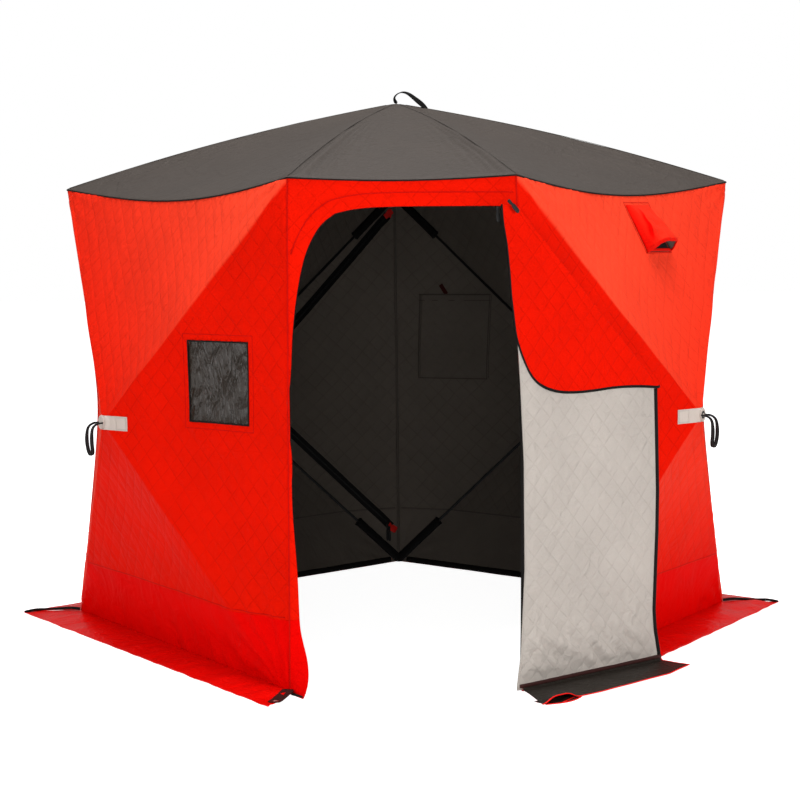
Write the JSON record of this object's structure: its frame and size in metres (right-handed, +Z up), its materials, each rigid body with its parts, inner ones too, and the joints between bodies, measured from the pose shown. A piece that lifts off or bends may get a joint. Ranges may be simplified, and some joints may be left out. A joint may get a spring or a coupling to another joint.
{
  "type": "ice fishing hut",
  "caption": "Pop-up ice fishing hut with hubbed quilted walls, a dark fabric roof and a fabric door folded back from its doorway.",
  "frame": {"origin": "on the ground at the centre of the footprint, skirts and folded-back door included", "axes": "+Z up, the doorway faces -Y, +X to the right seen from the doorway's outside"},
  "size_m": [3.0066, 3.3356, 2.0378],
  "materials": {
    "red_quilt": "matt quilted polyester",
    "roof_fabric": "matt polyester",
    "skirt_fabric": "matt polyester",
    "black_webbing": "woven webbing",
    "grey_patch": "reflective tape",
    "cord": "braided cord",
    "pole": "glass fibre rod",
    "hub_plastic": "moulded nylon",
    "window_vinyl": "clear vinyl",
    "metal": "plated"
  },
  "bodies": {
    "shelter": {"anchor_grommet": "metal", "anchor_tab": "black_webbing", "back_left_bottom_gore": "red_quilt", "back_left_inner_gore": "red_quilt", "back_left_outer_gore": "red_quilt", "back_left_pull_loop": "cord", "back_left_skirt": "skirt_fabric", "back_left_top_gore": "red_quilt", "back_right_bottom_gore": "red_quilt", "back_right_inner_gore": "red_quilt", "back_right_outer_gore": "red_quilt", "back_right_pull_loop": "cord", "back_right_skirt": "skirt_fabric", "back_right_top_gore": "red_quilt", "back_right_window": "window_vinyl", "back_right_window_cover": "black_webbing", "front_header": "red_quilt", "front_left_jamb": "red_quilt", "front_opening_corner": "red_quilt", "front_right_jamb": "red_quilt", "hub_patches": "grey_patch", "hub_washers": "hub_plastic", "left_bottom_gore": "red_quilt", "left_front_gore": "red_quilt", "left_pull_loop": "cord", "left_rear_gore": "red_quilt", "left_skirt": "skirt_fabric", "left_top_gore": "red_quilt", "left_window": "window_vinyl", "pole_pockets": "black_webbing", "right_bottom_gore": "red_quilt", "right_front_gore": "red_quilt", "right_pull_loop": "cord", "right_rear_gore": "red_quilt", "right_skirt": "skirt_fabric", "right_top_gore": "red_quilt", "right_vent_hood": "red_quilt", "roof_back_left_gore": "roof_fabric", "roof_back_right_gore": "roof_fabric", "roof_front_gore": "roof_fabric", "roof_hub": "hub_plastic", "roof_left_gore": "roof_fabric", "roof_poles": "pole", "roof_right_gore": "roof_fabric", "roof_strap": "black_webbing", "side_door_zip": "black_webbing", "wall_hubs": "hub_plastic", "wall_poles": "pole"},
    "door": {"door_panel": "red_quilt", "door_turned_corner": "red_quilt", "door_skirt": "skirt_fabric"}
  },
  "joints": [
    {"name": "door_hinge", "type": "hinge", "parent": "shelter", "child": "door", "pos_m": [0.35, -1.44929, 0.79], "axis": [0, 0, 1], "range_deg": [-221.98, 0]}
  ]
}
